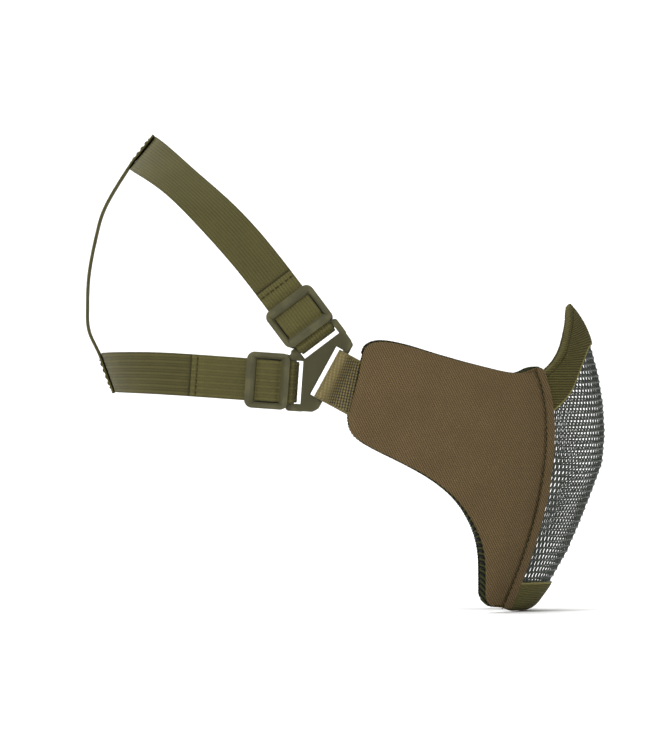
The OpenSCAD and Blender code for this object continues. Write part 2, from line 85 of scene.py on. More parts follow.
class Shader:
    """A small helper for writing node trees."""

    def __init__(self, name):
        self.mat = bpy.data.materials.new(name)
        self.mat.use_nodes = True
        self.tree = self.mat.node_tree
        self.bsdf = self.tree.nodes["Principled BSDF"]

    def set(self, socket, value):
        if isinstance(value, bpy.types.NodeSocket):
            self.tree.links.new(value, socket)
        elif value is not None:
            socket.default_value = value

    def node(self, kind, inputs=(), **props):
        n = self.tree.nodes.new(kind)
        for key, value in props.items():
            setattr(n, key, value)
        for key, value in dict(inputs).items():
            self.set(n.inputs[key], value)
        return n.outputs[0]

    def math(self, op, a, b=None, c=None):
        n = self.tree.nodes.new("ShaderNodeMath")
        n.operation = op
        for i, v in enumerate((a, b, c)):
            if v is not None:
                self.set(n.inputs[i], v)
        return n.outputs[0]

    def smooth(self, value, low, high, a=0.0, b=1.0):
        return self.node("ShaderNodeMapRange", inputs={0: value, 1: low, 2: high, 3: a, 4: b},
                         interpolation_type="SMOOTHSTEP")

    def mix(self, factor, a, b):
        n = self.tree.nodes.new("ShaderNodeMix")
        n.data_type = "RGBA"
        self.set(n.inputs[0], factor)
        self.set(n.inputs[6], a)
        self.set(n.inputs[7], b)
        return n.outputs[2]

    def coords(self):
        """The piece's own coordinates: across and along in millimetres, and a shade."""
        cloth = self.tree.nodes.new("ShaderNodeAttribute")
        cloth.attribute_name = "cloth"
        sep = self.tree.nodes.new("ShaderNodeSeparateXYZ")
        self.tree.links.new(cloth.outputs["Vector"], sep.inputs[0])
        return sep.outputs[:3]

    def position(self, scale=1000.0):
        """The place on the piece, in millimetres."""
        geo = self.tree.nodes.new("ShaderNodeTexCoord")
        return self.node("ShaderNodeVectorMath", inputs={0: geo.outputs["Object"], 3: scale},
                         operation="SCALE")

    def noise(self, vector, scale, detail=3.0, rough=0.55):
        return self.node("ShaderNodeTexNoise", inputs={"Vector": vector, "Scale": scale,
                                                       "Detail": detail, "Roughness": rough})

    def wave(self, value, pitch):
        """A cosine from 0 to 1 of a length, once every pitch."""
        turns = self.math("MULTIPLY", value, 2 * math.pi / pitch)
        return self.math("MULTIPLY_ADD", self.math("COSINE", turns), 0.5, 0.5)

    def finish(self, colour, roughness, height=None, depth=0.2, sheen=0.0, metallic=0.0,
               specular=0.5, sheen_tint=(1, 1, 1, 1)):
        b = self.bsdf.inputs
        self.set(b["Base Color"], colour)
        self.set(b["Roughness"], roughness)
        self.set(b["Metallic"], metallic)
        self.set(b["Specular IOR Level"], specular)
        if sheen:
            self.set(b["Sheen Weight"], sheen)
            self.set(b["Sheen Tint"], sheen_tint)
            self.set(b["Sheen Roughness"], SHEEN_ROUGHNESS)
        if height is not None:
            self.set(b["Normal"], self.node("ShaderNodeBump", inputs={
                "Strength": 1.0, "Distance": depth * MM, "Height": height}))
        return self.mat


def rgb(r, g, b):
    """A colour given as 0-255 values on screen, as linear light."""
    def linear(v):
        v /= 255
        return v / 12.92 if v <= 0.04045 else ((v + 0.055) / 1.055) ** 2.4
    return linear(r), linear(g), linear(b), 1


def twill_material(name, base, dark, light):
    """Steep twill lines one millimetre apart, broken into single yarns."""
    s = Shader(name)
    x, z, _ = s.coords()
    lean_cos, lean_sin = 0.89, 0.45
    wobble = s.math("MULTIPLY", s.noise(s.position(), 0.35, 2), 0.5)
    across = s.math("ADD", s.math("MULTIPLY", x, lean_cos), s.math("MULTIPLY", z, lean_sin))
    across = s.math("ADD", across, wobble)
    along = s.math("SUBTRACT", s.math("MULTIPLY", z, lean_cos), s.math("MULTIPLY", x, lean_sin))
    rib = s.wave(across, TWILL_PITCH)
    row = s.math("FLOOR", s.math("DIVIDE", across, TWILL_PITCH))
    shifted = s.math("ADD", along, s.math("MULTIPLY", row, 0.37))
    yarn = s.wave(shifted, TWILL_YARN)
    height = s.math("ADD", s.math("MULTIPLY", rib, 0.75), s.math("MULTIPLY", yarn, 0.35))
    grain = s.noise(s.position(), 2.2, 4, 0.65)
    patch = s.noise(s.position(), 0.06, 3, 0.5)
    fleck = s.math("MULTIPLY", s.smooth(grain, 0.52, 0.72), s.math("MULTIPLY", rib, 0.6))
    colour = s.mix(s.smooth(height, 0.05, 1.0), dark, base)
    colour = s.mix(fleck, colour, light)
    colour = s.mix(s.smooth(patch, 0.3, 0.7, 0.0, 0.2), colour, dark)
    return s.finish(colour, 0.88, s.math("ADD", height, s.math("MULTIPLY", grain, 0.5)), 0.2,
                    sheen=0.1, specular=0.15, sheen_tint=light)


def elastic_material(name, base, dark, light):
    """Woven elastic: the ribs are modelled; the shader adds the cross threads, painted shade in the
    grooves, and near-black painted shadow where the third coordinate is below 0.
    """
    s = Shader(name)
    x, y, shade = s.coords()
    cell = s.wave(y, ELASTIC_PICK)
    lane = s.math("FLOOR", s.math("DIVIDE", x, ELASTIC_LANE))
    stagger = s.wave(s.math("MULTIPLY_ADD", lane, ELASTIC_PICK / 2, y), ELASTIC_PICK)
    grain = s.noise(s.position(), 1.6, 4, 0.6)
    patch = s.noise(s.position(), 0.05, 2, 0.5)
    height = s.math("ADD", s.math("MULTIPLY", stagger, 0.6), s.math("MULTIPLY", cell, 0.25))
    colour = s.mix(s.smooth(shade, 0.0, 0.75), dark, base)
    colour = s.mix(s.smooth(shade, 0.9, 1.3, 0.0, 0.6), colour, light)
    colour = s.mix(s.math("MULTIPLY", s.smooth(height, 0.35, 0.85), 0.4), colour, light)
    colour = s.mix(s.smooth(grain, 0.35, 0.75, 0.0, 0.28), colour, dark)
    colour = s.mix(s.smooth(patch, 0.3, 0.7, 0.0, 0.15), colour, light)
    # below 0 the third coordinate paints a near-black shadow
    colour = s.mix(s.smooth(shade, -0.45, 0.0, 1.0, 0.0), colour, rgb(5, 5, 3))
    return s.finish(colour, 0.78, s.math("ADD", height, s.math("MULTIPLY", grain, 0.4)), 0.18,
                    sheen=0.1, specular=0.2, sheen_tint=light)


def webbing_material(name, base, dark, light):
    """Flat nylon webbing: modelled tufts, painted black shade between them, and a painted highlight
    on their crests, patchy with the grain.
    """
    s = Shader(name)
    x, y, shade = s.coords()
    fibre_pitch = 0.26
    fibre = s.wave(s.math("ADD", x, s.math("MULTIPLY", y, 0.25)), fibre_pitch)
    grain = s.noise(s.position(), 2.4, 3, 0.6)
    # painted shade, near black, between the tufts
    colour = s.mix(s.smooth(shade, 0.12, 0.62), dark, base)
    # painted highlight on the tufts' crests
    crest_highlight = s.math("MULTIPLY", s.smooth(shade, 0.6, 1.0), s.smooth(grain, 0.35, 0.7, 0.2, 0.8))
    colour = s.mix(crest_highlight, colour, light)
    return s.finish(colour, 0.5, s.math("ADD", fibre, grain), 0.08,
                    sheen=0.12, specular=0.45, sheen_tint=light)


def knit_material(name, base, dark, light, edge):
    """Ribbed knit tape. Its third coordinate paints a highlight on its fold above 0 and shade in
    its groove below 0.
    """
    s = Shader(name)
    across, along, painted_light = s.coords()
    wobble = s.math("MULTIPLY", s.noise(s.position(), 0.3, 2), 0.4)
    rib = s.wave(s.math("ADD", along, wobble), KNIT_PITCH)
    row = s.math("FLOOR", s.math("DIVIDE", along, KNIT_PITCH))
    loop = s.wave(s.math("ADD", across, s.math("MULTIPLY", row, KNIT_LOOP / 2)), KNIT_LOOP)
    grain = s.noise(s.position(), 2.0, 4, 0.65)
    height = s.math("ADD", s.math("MULTIPLY", rib, 0.85), s.math("MULTIPLY", loop, 0.15))
    colour = s.mix(s.smooth(height, 0.12, 0.6), dark, base)
    colour = s.mix(s.smooth(grain, 0.45, 0.75, 0.0, 0.35), colour, light)
    # painted highlight on the fold, then painted shade in the groove
    colour = s.mix(s.smooth(painted_light, 0.1, 0.7, 0.0, 0.9), colour, edge)
    colour = s.mix(s.smooth(painted_light, -0.8, -0.1, 0.9, 0.0), colour, dark)
    return s.finish(colour, 0.9, s.math("ADD", height, s.math("MULTIPLY", grain, 0.4)), 0.4,
                    sheen=0.08, specular=0.1, sheen_tint=light)


def thread_material(name, tones, pitch=0.55):
    """Twisted sewing thread. The third coordinate picks the tone."""
    s = Shader(name)
    around, along, pick = s.coords()
    ply = s.wave(s.math("ADD", along, s.math("MULTIPLY", around, 0.5)), pitch)
    grain = s.noise(s.position(), 3.0, 3, 0.6)
    base = s.mix(s.smooth(pick, 0.4, 0.6), tones[0], tones[1])
    colour = s.mix(s.math("MULTIPLY", ply, 0.45), base, tones[2])
    return s.finish(colour, s.smooth(grain, 0.3, 0.7, 0.7, 0.9), ply, 0.1, specular=0.12)


def moulded_material(name, base, dark, light):
    """Matt moulded nylon with a fine spark-eroded grain, and a patchy painted highlight along its
    edges.
    """
    s = Shader(name)
    p = s.position()
    fine = s.noise(p, 3.2, 4, 0.7)
    cloud = s.noise(p, 0.12, 3, 0.5)
    geo = s.tree.nodes.new("ShaderNodeNewGeometry")
    # a painted highlight on the sharp edges, patchy with the clouding
    edge_highlight = s.math("MULTIPLY", s.smooth(geo.outputs["Pointiness"], 0.5, 0.58),
                  s.smooth(cloud, 0.4, 0.65, 0.25, 1.0))
    colour = s.mix(s.smooth(cloud, 0.3, 0.7, 0.0, 0.3), base, dark)
    colour = s.mix(s.math("MULTIPLY", edge_highlight, 0.55), colour, light)
    rough = s.smooth(fine, 0.3, 0.7, 0.42, 0.58)
    return s.finish(colour, rough, fine, 0.03, specular=0.27)


def steel_material(name, base, dark, light):
    """Satin paint on steel, with odd chips scattered over it."""
    s = Shader(name)
    p = s.position()
    chip = s.smooth(s.noise(p, 0.55, 5, 0.7), 0.66, 0.7)
    film = s.noise(p, 0.08, 2)
    colour = s.mix(s.smooth(film, 0.3, 0.7, 0.0, 0.5), base, dark)
    colour = s.mix(s.math("MULTIPLY", chip, 0.6), colour, light)
    return s.finish(colour, s.smooth(film, 0.3, 0.7, 0.36, 0.5), s.noise(p, 1.6, 3), 0.05,
                    metallic=0.15, specular=0.5)


def brushed_material(name, base, light, cell_size=2.2):
    """Soft brushed lining or open foam: small cells and a pale bloom."""
    s = Shader(name)
    p = s.position()
    cells = s.node("ShaderNodeTexVoronoi", inputs={"Vector": p, "Scale": 1.0 / cell_size * 1.4})
    grain = s.noise(p, 1.8, 5, 0.7)
    colour = s.mix(s.smooth(cells, 0.1, 0.6, 0.0, 0.5), base, light)
    colour = s.mix(s.smooth(grain, 0.5, 0.8, 0.0, 0.4), colour, light)
    return s.finish(colour, 0.95, s.math("ADD", cells, grain), 0.35,
                    sheen=0.4, specular=0.1, sheen_tint=light)


TWILL = twill_material("brown_twill", rgb(102, 85, 57), rgb(66, 53, 34), rgb(128, 107, 74))
ELASTIC = elastic_material("olive_elastic", rgb(72, 68, 35), rgb(34, 32, 13), rgb(92, 87, 47))
# the dark colour is the painted shade between the tufts
WEBBING = webbing_material("olive_webbing", rgb(98, 86, 47), rgb(12, 11, 5), rgb(142, 127, 74))
# the last colour of each knit is the painted highlight on its fold
KNIT = knit_material("olive_knit_tape", rgb(78, 73, 40), rgb(44, 41, 20), rgb(104, 98, 54),
                     rgb(124, 118, 70))
CHIN_KNIT = knit_material("olive_knit_chin", rgb(82, 78, 46), rgb(70, 67, 38), rgb(100, 95, 56),
                          rgb(128, 122, 76))
GREEN_THREAD = thread_material("green_thread", (rgb(36, 40, 16), rgb(56, 50, 20), rgb(18, 18, 8)))
TRIM_THREAD = thread_material("overlock_thread", (rgb(10, 11, 6), rgb(58, 61, 26), rgb(5, 6, 3)),
                              0.5)
# the light colour is the painted highlight on the edges
MOULDED = moulded_material("moulded_nylon", rgb(57, 55, 31), rgb(47, 45, 25), rgb(88, 84, 55))
STEEL = steel_material("coated_steel", rgb(46, 53, 42), rgb(34, 39, 30), rgb(78, 82, 72))
LINING = brushed_material("dark_lining", rgb(30, 32, 22), rgb(50, 52, 38))
FOAM = brushed_material("pad_foam", rgb(150, 146, 128), rgb(200, 196, 178), 1.2)


# ---------------------------------------------------------------- mesh tools

def merged(node):
    """A CAD node's mesh as one connected bmesh."""
    bm = bmesh.new()
    bm.from_mesh(NODES[node].data)
    bmesh.ops.remove_doubles(bm, verts=bm.verts, dist=2e-6)
    bm.normal_update()
    return bm


def bvh(node):
    bm = merged(node)
    tree = BVHTree.FromBMesh(bm)
    bm.free()
    return tree


def add_object(name, mesh, material, body, replaces=(), smooth=True):
    obj = bpy.data.objects.new(name, mesh)
    bpy.context.scene.collection.objects.link(obj)
    mesh.materials.clear()
    mesh.materials.append(material)
    mesh.polygons.foreach_set("use_smooth", [smooth] * len(mesh.polygons))
    if body:
        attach(obj, body)
    if replaces:
        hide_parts(*replaces)
    return obj


def mesh_from(name, points, faces, cloth=None):
    mesh = bpy.data.meshes.new(name)
    mesh.from_pydata([tuple(p) for p in points], [], faces)
    if cloth is not None:
        write_cloth(mesh, cloth)
    mesh.validate()
    mesh.update()
    return mesh


def write_cloth(mesh, values):
    layer = mesh.attributes.get("cloth") or mesh.attributes.new("cloth", "FLOAT_VECTOR", "POINT")
    layer.data.foreach_set("vector", np.asarray(values, np.float32).ravel())


def sharp_chains(node):
    """The chains of sharp edges of a CAD sheet, between its corners, as lists of points."""
    bm = merged(node)
    links = {}
    for e in bm.edges:
        if len(e.link_faces) == 2 and e.calc_face_angle(0) > SHARP_ANGLE:
            for v in e.verts:
                links.setdefault(v.index, []).append(e.other_vert(v).index)
    bm.verts.ensure_lookup_table()
    at = {v.index: v.co.copy() for v in bm.verts}
    corners = [v for v, n in links.items() if len(n) >= 3]
    chains = []
    for c in corners:
        for step in links[c]:
            path, last, here = [c], c, step
            while True:
                path.append(here)
                if len(links[here]) != 2:
                    break
                last, here = here, next(n for n in links[here] if n != last)
            if c <= path[-1]:
                chains.append([at[i] for i in path])
    bm.free()
    return chains


def middle_line(pair):
    """The line half way between two paths that run side by side."""
    one, two = pair
    if (one[0] - two[0]).length > (one[0] - two[-1]).length:
        two = two[::-1]
    return [Vector((p + q) / 2) for p, q in zip(one, two)]


def length_of(path):
    return sum((b - a).length for a, b in zip(path, path[1:]))


def resample(path, step=None, count=None):
    """Points at even distances along a smooth curve through a path. Each is a numpy row."""
    p = np.array([list(v) for v in path], float)
    n = len(p)
    d = np.r_[0, np.cumsum(np.linalg.norm(np.diff(p[:, :3], axis=0), axis=1))]
    count = count or max(2, int(round(d[-1] / step)))
    out = []
    for t in np.linspace(0, d[-1], count + 1):
        i = min(max(int(np.searchsorted(d, t) - 1), 0), n - 2)
        before, after = max(i - 1, 0), min(i + 2, n - 1)
        h = d[i + 1] - d[i]
        f = (t - d[i]) / max(h, TINY)
        a, b = p[i], p[i + 1]
        ma = (p[i + 1] - p[before]) / max(d[i + 1] - d[before], TINY) * h
        mb = (p[after] - p[i]) / max(d[after] - d[i], TINY) * h
        f2, f3 = f * f, f * f * f
        out.append((2 * f3 - 3 * f2 + 1) * a + (f3 - 2 * f2 + f) * ma
                   + (3 * f2 - 2 * f3) * b + (f3 - f2) * mb)
    return np.array(out), np.linspace(0, d[-1], count + 1)


def unit(v):
    return v / np.maximum(np.linalg.norm(v, axis=-1, keepdims=True), TINY)


def closed_ring_faces(rings, size):
    faces = []
    for r in range(rings - 1):
        a, b = r * size, (r + 1) * size
        faces += [(a + k, a + (k + 1) % size, b + (k + 1) % size, b + k) for k in range(size)]
    faces.append(tuple(range(size - 1, -1, -1)))
    faces.append(tuple((rings - 1) * size + k for k in range(size)))
    return faces


# ---------------------------------------------------------------- straps and webbing

def ribbon_stations(node):
    """Centre, across and outward directions along a CAD ribbon, and its width and thickness."""
    chains = sorted((c for c in sharp_chains(node) if len(c) > 5), key=lambda c: -len(c))
    first = chains[0]

    def same_way(c):
        kept = (c[0] - first[0]).length + (c[-1] - first[-1]).length
        turned = (c[-1] - first[0]).length + (c[0] - first[-1]).length
        return c if kept < turned else c[::-1]

    # the ribbon's four long edges: the nearest to the first is across its thickness
    rest = sorted((same_way(c) for c in chains[1:4]),
                  key=lambda c: (c[len(c) // 3] - first[len(first) // 3]).length)
    a0, a1, b0, b1 = (np.array(c) for c in (first, *rest))
    centre = (a0 + a1 + b0 + b1) / 4
    across = unit((b0 + b1) - (a0 + a1))
    out = unit((a0 + b0) - (a1 + b1))
    mid = len(centre) // 2
    if np.dot(out[mid], centre[mid] - np.array(HEAD_CENTRE)) < 0:
        out = -out
    width = np.median(np.linalg.norm(b0 - a0, axis=1))
    thick = np.median(np.linalg.norm(a0 - a1, axis=1))
    return centre, across, out, width, thick


def ribbon(name, stations, material, step, lanes, relief, body, replaces, folded=False):
    """A strap along CAD stations. relief(x, s, total) gives height, shade and widening."""
    roll, bow, inset = 0.5 * MM, 0.75, 0.12 * MM
    shadow_start, shadow_end = -1.0, 1.6
    centre, across, out, width, thick = stations
    rows, s = resample(np.hstack([centre, across, out]), step=step)
    c, w, n = rows[:, :3], unit(rows[:, 3:6]), rows[:, 6:9]
    n = unit(n - w * (n * w).sum(1, keepdims=True))
    total = s[-1] / MM
    # where the layer underneath passes the strap's folded end, the fold's shadow is painted on it
    under = [(np.linalg.norm(p - c[0]), t / MM) for p, t in zip(c, s) if 20 < t / MM < total / 3]
    fold = min(under)[1] if folded else None
    xs = np.linspace(-width / 2, width / 2, lanes + 1)
    points, cloth = [], []
    for i in range(len(c)):
        for side in (1, -1):
            for x in (xs if side > 0 else xs[::-1]):
                h, shade, grow = relief(x / MM, s[i] / MM, total)
                if folded:
                    past = min(s[i] / MM, total - s[i] / MM) - fold
                    # painted shadow of the folded end
                    if shadow_start < past < shadow_end:
                        shade = min(shade, -0.3 + 0.6 * max(past, 0.0))
                edge = max(0.0, (abs(x) - width / 2 + roll) / roll)
                half = thick / 2 * math.sqrt(max(0.0, 1 - bow * edge * edge))
                half += grow * MM * (side > 0)
                points.append(c[i] + w[i] * x + n[i] * side * (half - inset + h * MM))
                cloth.append((x / MM, s[i] / MM, shade))
    size = 2 * (lanes + 1)
    mesh = mesh_from(name, points, closed_ring_faces(len(c), size), cloth)
    return add_object(name, mesh, material, body, replaces)


def rib_at(x, paired):
    """How high the elastic's ribs stand at x; every second one is lower on the lower strap."""
    rib = abs(math.cos(math.pi * x / RIB_PITCH)) ** 0.7
    return rib * (1 - paired * (round(x / RIB_PITCH) % 2))


def elastic_relief(top_layer=0.0, paired=0.0):
    """top_layer: how much of each end lies on the outside, folded back to its hem."""
    hem, slope, stitched_at, groove_width = 6.3, 0.8, 2.8, 0.35

    def relief(x, s, total):
        rib = rib_at(x, paired)
        near = min(s, total - s)
        grow, shade, tall = 0.0, 0.12 + 0.68 * rib, 0.15
        if near < top_layer:
            shade, tall = 0.3 + 0.85 * rib, 0.22
        if top_layer and near < hem:
            step_up = min(1.0, max(0.0, (hem - near) / slope))
            grow = 0.6 * step_up * (1 - 0.4 * max(0.0, 1 - near / slope))
            groove = math.exp(-((near - stitched_at) / groove_width) ** 2)
            grow -= 0.45 * groove
            # painted shade in the stitched groove
            shade = 0.42 + 0.9 * rib - 0.75 * groove
        return tall * rib, shade, grow
    return relief


def webbing_relief(x, s, total):
    """Tufts in a slightly turned grid with painted dark shade between them, closing up near the
    bar.
    """
    turn, bar_wrap, closing, selvedge = 0.3, 3.5, 3.0, 11.6
    u = ((x + turn * s) / TUFT_ACROSS) % 1 - 0.5
    v = ((s - turn * x) / TUFT_ALONG) % 1 - 0.5
    tuft = max(0.0, 1 - (abs(u) / 0.5) ** 3) * max(0.0, 1 - (abs(v) / 0.47) ** 2.2)
    from_bar = abs(s - total / 2) - bar_wrap
    tight = min(1.0, max(0.0, 1 - (from_bar - 0.3 + 0.1 * x) / closing))
    tuft = tuft * (1 - 0.5 * tight) + 0.5 * tight
    if abs(x) > selvedge:
        tuft = 0.62 + 0.3 * math.cos(2 * math.pi * (s + 0.5 * x) / TUFT_ALONG)
    return 0.3 * tuft, tuft, 0.0


# How far each strap's folded end reaches, in millimetres, and how much lower every second rib is.
STRAP_ENDS = {"upper_strap": (33, 0.0), "lower_strap": (49, 0.45)}
ELASTIC_LANES = 84
WEBBING_LANES = 100


def build_straps():
    made = {}
    for node, (top_layer, paired) in STRAP_ENDS.items():
        made[node] = ribbon(node + "_elastic", ribbon_stations(node), ELASTIC, 0.65 * MM,
                            ELASTIC_LANES, elastic_relief(top_layer, paired), None, (node,),
                            folded=True)
    node = "back_strap"
    made[node] = ribbon(node + "_elastic", ribbon_stations(node), ELASTIC, 1.3 * MM,
                        ELASTIC_LANES, elastic_relief(), "strap_rear", (node,))
    for side in SIDES:
        node = side + "_anchor_webbing"
        made[node] = ribbon(node + "_tab", ribbon_stations(node), WEBBING, 0.28 * MM,
                            WEBBING_LANES, webbing_relief, None, (node,))
    return made


# ---------------------------------------------------------------- stitches

def stitch_parts(node):
    """Centre, long axis, outward axis and length of each loose stitch of a CAD node."""
    bm = merged(node)
    seen, parts = set(), []
    for v in bm.verts:
        if v.index in seen:
            continue
        stack, group = [v], []
        seen.add(v.index)
        while stack:
            q = stack.pop()
            group.append(np.array(q.co))
            for e in q.link_edges:
                o = e.other_vert(q)
                if o.index not in seen:
                    seen.add(o.index)
                    stack.append(o)
        g = np.array(group)
        c = g.mean(0)
        _, _, axes = np.linalg.svd(g - c)
        parts.append((c, axes[0], axes[2], 2 * np.abs((g - c) @ axes[0]).max()))
    bm.free()
    return parts


def stitches(name, node, body, outward, radius, sink=0.28, stretch=1.25, pick=0.0):
    """Each stitch is a thread that rises from the cloth, runs along it and dives back in."""
    points, faces, cloth = [], [], []
    rings, size = 11, 8
    for c, d, n, length in stitch_parts(node):
        if np.dot(n, outward(c)) < 0:
            n = -n
        w = np.cross(d, n)
        half = length / 2 * stretch
        base = len(points)
        jitter = random.uniform(-0.06, 0.06)
        d2 = unit(d + w * jitter)
        for k in range(rings):
            t = -1 + 2 * k / (rings - 1)
            dip = abs(t) ** 3.2
            o = c + d2 * half * t - n * (0.12 + (sink + 0.55) * dip) * MM
            r = radius * MM * (1 - 0.25 * dip)
            for j in range(size):
                a = 2 * math.pi * j / size
                points.append(o + w * r * 1.15 * math.cos(a) + n * r * math.sin(a))
                cloth.append((j, (t + 1) * half / MM, pick))
        faces += [tuple(i + base for i in f) for f in closed_ring_faces(rings, size)]
    mesh = mesh_from(name, points, faces, cloth)
    add_object(name, mesh, GREEN_THREAD, body, (node,))


def outward_from(centre):
    return lambda c: c - np.array(centre)


# ---------------------------------------------------------------- cloth made from CAD sheets

def refine(node, levels, sharpness=0.55):
    """A CAD sheet with its triangles joined to quads, smoothed and subdivided."""
    bm = merged(node)
    bmesh.ops.join_triangles(bm, faces=bm.faces, angle_face_threshold=math.radians(35),
                             angle_shape_threshold=math.radians(70))
    crease = bm.edges.layers.float.get("crease_edge") or bm.edges.layers.float.new("crease_edge")
    for e in bm.edges:
        if len(e.link_faces) == 2 and e.calc_face_angle(0) > SHARP_ANGLE:
            e[crease] = sharpness
    mesh = bpy.data.meshes.new(node + "_cloth")
    bm.to_mesh(mesh)
    bm.free()
    obj = bpy.data.objects.new("work", mesh)
    bpy.context.scene.collection.objects.link(obj)
    mod = obj.modifiers.new("fine", "SUBSURF")
    mod.levels = mod.render_levels = levels
    deps = bpy.context.evaluated_depsgraph_get()
    fine = bpy.data.meshes.new_from_object(obj.evaluated_get(deps))
    bpy.data.objects.remove(obj)
    return fine


def vertex_array(mesh):
    co = np.zeros(len(mesh.vertices) * 3, np.float32)
    mesh.vertices.foreach_get("co", co)
    return co.reshape(-1, 3).astype(float)


def normal_array(mesh):
    out = np.zeros(len(mesh.vertices) * 3, np.float32)
    mesh.vertex_normals.foreach_get("vector", out)
    return out.reshape(-1, 3).astype(float)


def set_vertices(mesh, co):
    mesh.vertices.foreach_set("co", co.astype(np.float32).ravel())
    mesh.update()


def distance_to(points, path):
    """For each point: its distance to a path, and how far along the path the nearest spot is."""
    fine, s = resample(path, step=0.4 * MM)
    tree = KDTree(len(fine))
    for i, p in enumerate(fine):
        tree.insert(p[:3], i)
    tree.balance()
    d, a = np.zeros(len(points)), np.zeros(len(points))
    for i, p in enumerate(points):
        _, j, dist = tree.find(p)
        d[i], a[i] = dist, s[j]
    return d, a


def soft_noise(points, scale, seed):
    shift = Vector((seed, seed * 1.7, 0))
    return np.array([noise.noise(Vector(p) * (scale / MM) + shift) for p in points])


def long_edge(node, high, outermost):
    """One long edge of a cheek layer, from the ear forwards."""
    chains = [c for c in sharp_chains(node) if len(c) > 20]
    chains.sort(key=lambda c: sum(p.z for p in c) / len(c))
    chains = chains[2:] if high else chains[:2]
    line = (max if outermost else min)(chains, key=lambda c: sum(abs(p.y) for p in c))
    return line if line[0].x < line[-1].x else line[::-1]


def bottom_edge(node, corner):
    """The first few millimetres of a cheek layer's bottom edge, from its corner under the chin."""
    chains = [c for c in sharp_chains(node) if 4 < len(c) < 14]
    chains = [c if (c[0] - corner).length < (c[-1] - corner).length else c[::-1] for c in chains]
    line = min(chains, key=lambda c: (c[0] - corner).length)
    return line[:max(2, int(len(line) * 0.75))]


def rounded(path, spread):
    """The path with its corners rounded off, its ends kept."""
    p = np.array([list(v) for v in path])
    d = np.r_[0, np.cumsum(np.linalg.norm(np.diff(p, axis=0), axis=1))]
    t = np.arange(0, d[-1], 0.3 * MM)
    fine = np.array([np.interp(t, d, p[:, k]) for k in range(3)]).T
    out = fine.copy()
    for i in range(len(fine)):
        reach = min(t[i], d[-1] - t[i], 2 * spread)
        near = np.abs(t - t[i]) <= reach + 1e-9
        w = np.exp(-((t[near] - t[i]) / max(spread, 1e-9)) ** 2)
        out[i] = (fine[near] * w[:, None]).sum(0) / w.sum()
    return [Vector(q) for q in out]


def round_corner(co, line, bottom, radius):
    """Moves points that lie in a sheet's corner onto an arc."""
    corner = np.array(line[-1])
    e1 = unit(np.array(line[-6]) - corner)
    e2 = unit(np.array(bottom[-1]) - corner)
    n = unit(np.cross(e1, e2))
    frame3 = np.linalg.inv(np.array([e1, e2, n]).T)
    q = (co - corner) @ frame3.T
    inside = (q[:, 0] < radius) & (q[:, 1] < radius) & (np.abs(q[:, 2]) < 3 * MM)
    off = radius - q[:, :2]
    r = np.linalg.norm(off, axis=1)
    pull = inside & (r > radius)
    q[pull, :2] = radius - off[pull] * (radius / r[pull])[:, None]
    return q @ np.linalg.inv(frame3).T + corner


def cheek(side):
    """The twill cover with its puckered seam, the quilted lining, and the foam between them."""
    sign = -1 if side == "right" else 1
    corner_radius = 4 * MM
    node = side + "_cheek_cover"
    mesh = refine(node, 3)
    co, nrm = vertex_array(mesh), normal_array(mesh)
    seam = sorted((c for c, _, _, _ in stitch_parts(side + "_front_stitching")), key=lambda c: c[2])
    d, _ = distance_to(co, seam)
    outer = nrm[:, 1] * sign > 0.15
    along = np.cos(2 * math.pi * co[:, 2] / (STITCH_PITCH * MM))
    pucker = 0.75 * np.exp(-(d / (0.8 * MM)) ** 2) * (0.8 + 0.2 * along)
    behind = co[:, 0] < np.interp(co[:, 2], [c[2] for c in seam], [c[0] for c in seam])
    valley = 1.3 * np.exp(-(d / (6.5 * MM)) ** 2) * behind
    roll = 0.3 * np.exp(-((d - 2.4 * MM) / (1.1 * MM)) ** 2) * ~behind
    puff = 0.32 * soft_noise(co, 0.045, 3.1) + 0.12 * soft_noise(co, 0.16, 8.4)
    move = np.where(outer, roll - pucker - valley + puff, 0.0)
    set_vertices(mesh, co + nrm * move[:, None] * MM)
    co = vertex_array(mesh)
    line = long_edge(node, False, True)
    set_vertices(mesh, round_corner(co, line, bottom_edge(node, line[-1]), corner_radius))
    write_cloth(mesh, np.c_[co[:, 0] / MM, co[:, 2] / MM, np.zeros(len(co))])
    add_object(side + "_cheek_twill", mesh, TWILL, "mask", (node,))

    node = side + "_cheek_lining"
    mesh = refine(node, 2)
    co, nrm = vertex_array(mesh), normal_array(mesh)
    quilt = 0.3 * soft_noise(co, 0.06, 5.5)
    inner = nrm[:, 1] * sign < -0.15
    line = long_edge(node, False, True)
    co = co + nrm * np.where(inner, quilt, 0)[:, None] * MM
    set_vertices(mesh, round_corner(co, line, bottom_edge(node, line[-1]), corner_radius))
    add_object(side + "_cheek_inner_cloth", mesh, LINING, "mask", (node,))

    node = side + "_cheek_foam"
    mesh = refine(node, 1)
    co, nrm = vertex_array(mesh), normal_array(mesh)
    set_vertices(mesh, co - nrm * 0.25 * MM)
    add_object(side + "_cheek_pad_foam", mesh, FOAM, "mask", (node,))


